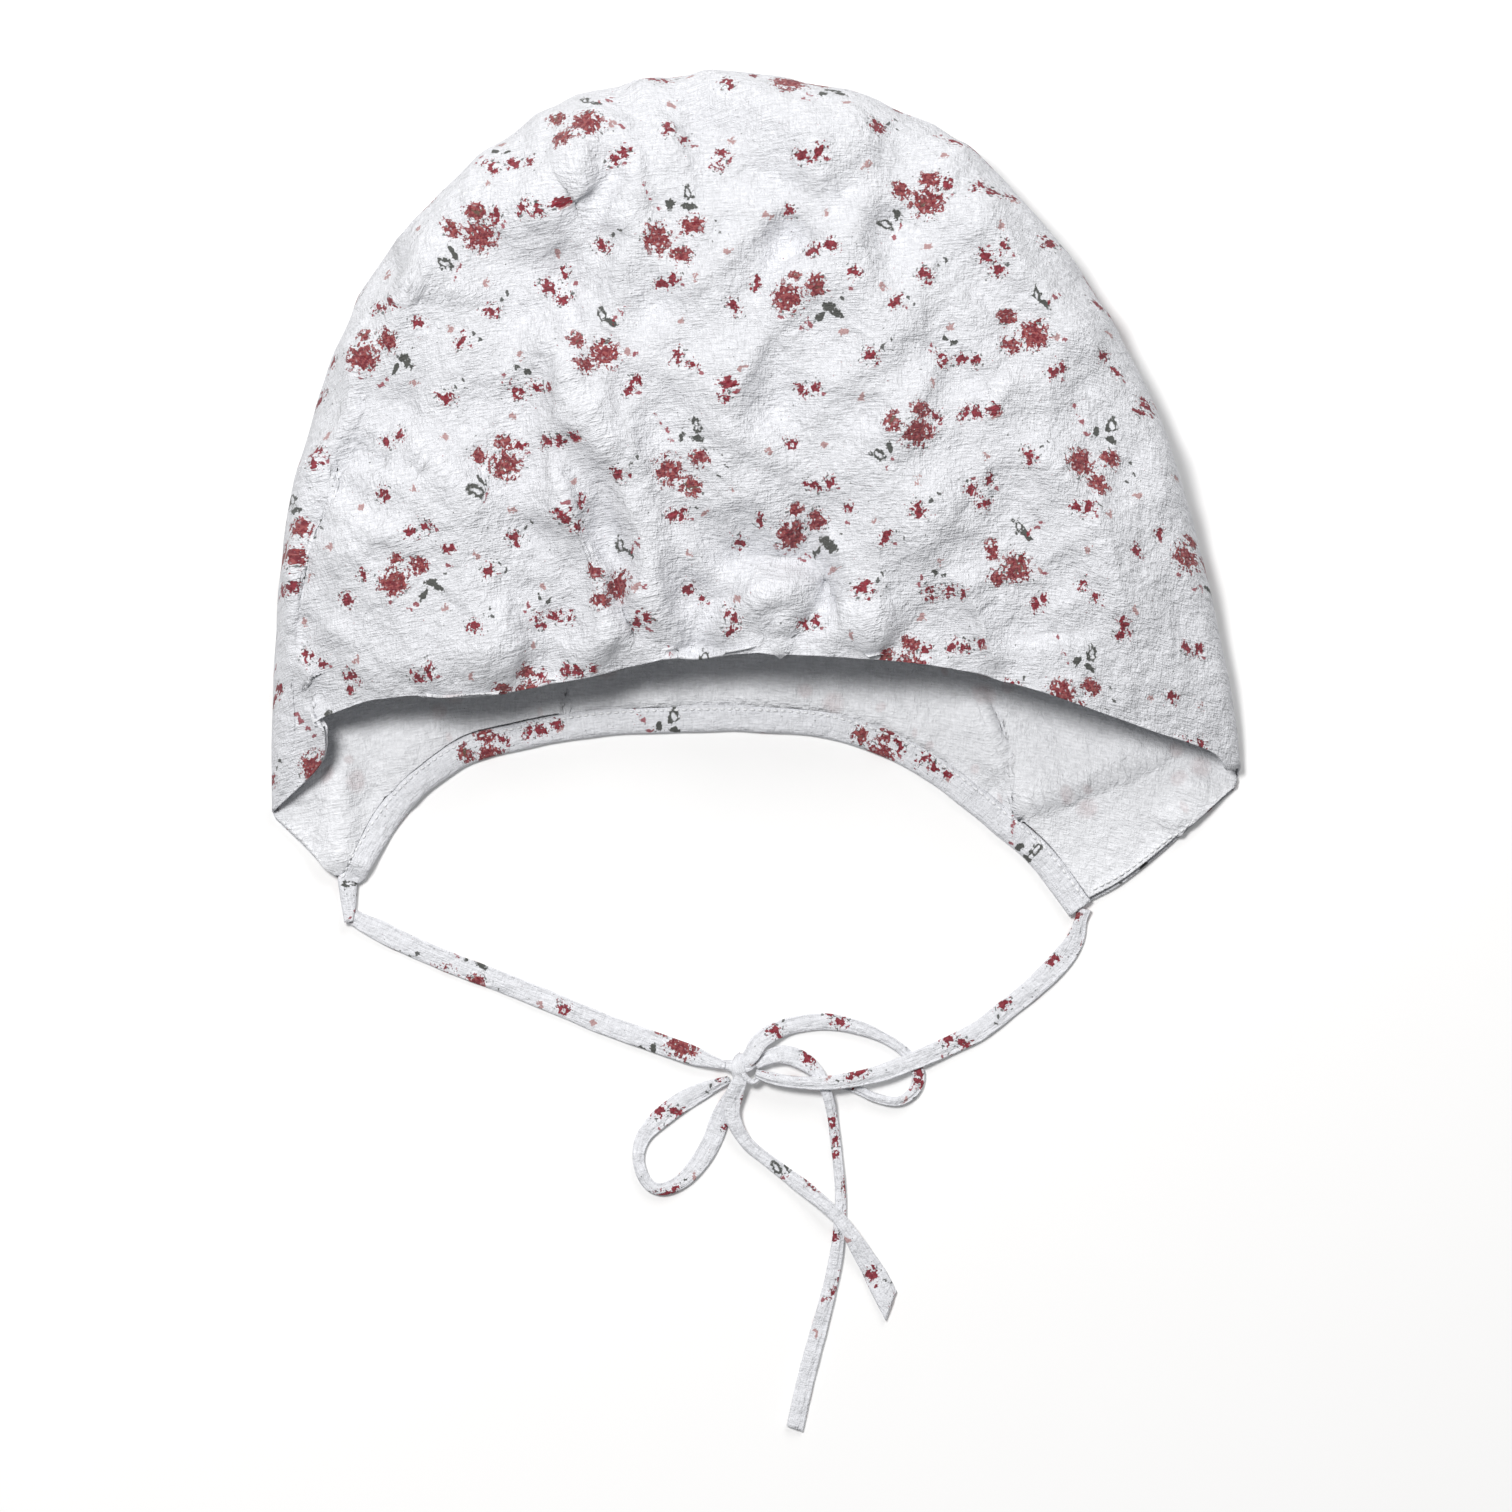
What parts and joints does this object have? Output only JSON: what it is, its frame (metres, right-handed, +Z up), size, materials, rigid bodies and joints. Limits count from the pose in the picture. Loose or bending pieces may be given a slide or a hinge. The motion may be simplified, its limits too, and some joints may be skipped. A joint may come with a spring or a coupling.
{
  "type": "baby bonnet",
  "caption": "Soft lined cotton baby bonnet with a rose print, a bound neck edge and flat ties in a bow, lying on its back.",
  "frame": {"origin": "on the floor under the middle of the bonnet's own box, ties left out", "axes": "+X to the bonnet's right side as it lies, +Y from the neck to the crown, +Z up off the floor"},
  "size_m": [0.23, 0.3213, 0.035],
  "materials": {
    "printed_cotton": "thin white cotton voile with a small red rose print, matt",
    "white_lining": "plain-weave white cotton, matt, print showing through faintly",
    "printed_tape": "folded strip of the same printed cotton, matt",
    "white_thread": "white sewing thread"
  },
  "bodies": {
    "root": {"crown_band": "printed_cotton", "back_panel": "printed_cotton", "lining_band": "white_lining", "lining_back": "white_lining", "neck_binding": "printed_tape", "tie_left": "printed_tape", "tie_right": "printed_tape", "bow_loop_left": "printed_tape", "bow_loop_right": "printed_tape", "tie_end_left": "printed_tape", "tie_end_right": "printed_tape", "bow_knot": "printed_tape"}
  },
  "joints": []
}
